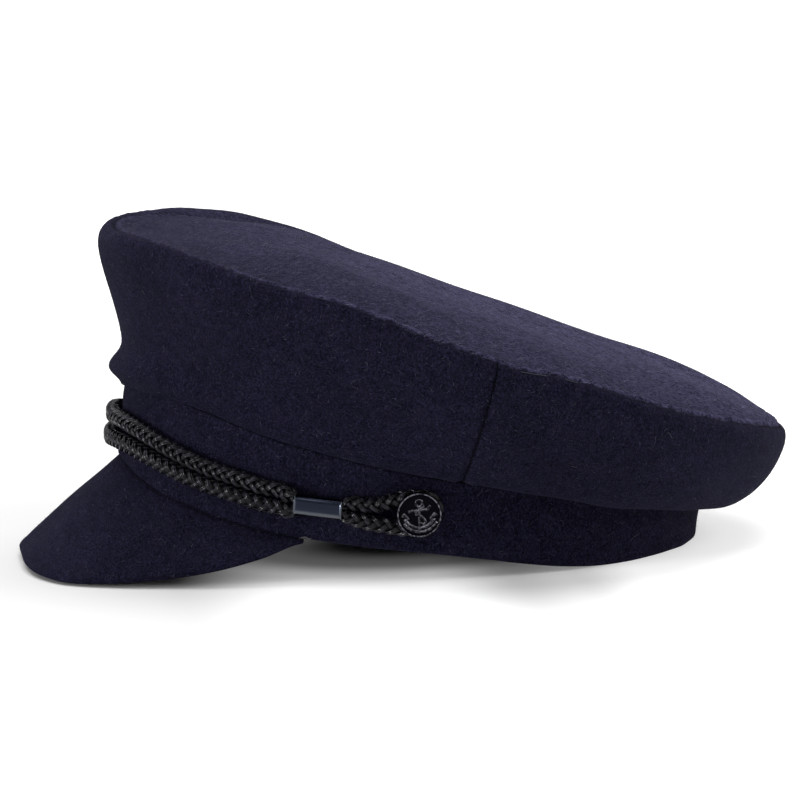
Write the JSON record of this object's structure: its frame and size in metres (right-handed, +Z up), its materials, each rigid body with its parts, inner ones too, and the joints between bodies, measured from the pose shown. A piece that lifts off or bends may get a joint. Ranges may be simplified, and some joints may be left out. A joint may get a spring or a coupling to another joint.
{
  "type": "fisherman cap",
  "caption": "Breton fisherman cap with a puffed oval crown, an upright headband, a short arched peak, a braided trim cord with metal sleeves, and side buttons.",
  "frame": {"origin": "bottom centre of the cap's bounding box, on the surface it rests on", "axes": "+Z up, -Y to the peak, +X to the wearer's left"},
  "size_m": [0.2418, 0.2714, 0.1186],
  "materials": {
    "wool": "matt felted wool with a soft nap",
    "braid": "braided cord with a slight shine",
    "sleeve_metal": "dark polished",
    "black_gloss": "glossy"
  },
  "bodies": {
    "root": {"crown_top": "wool", "crown_front": "wool", "crown_back": "wool", "headband": "wool", "peak": "wool", "trim_cord": "braid", "ferrule_left": "sleeve_metal", "ferrule_right": "sleeve_metal", "button_left": "black_gloss", "button_right": "black_gloss"}
  },
  "joints": []
}
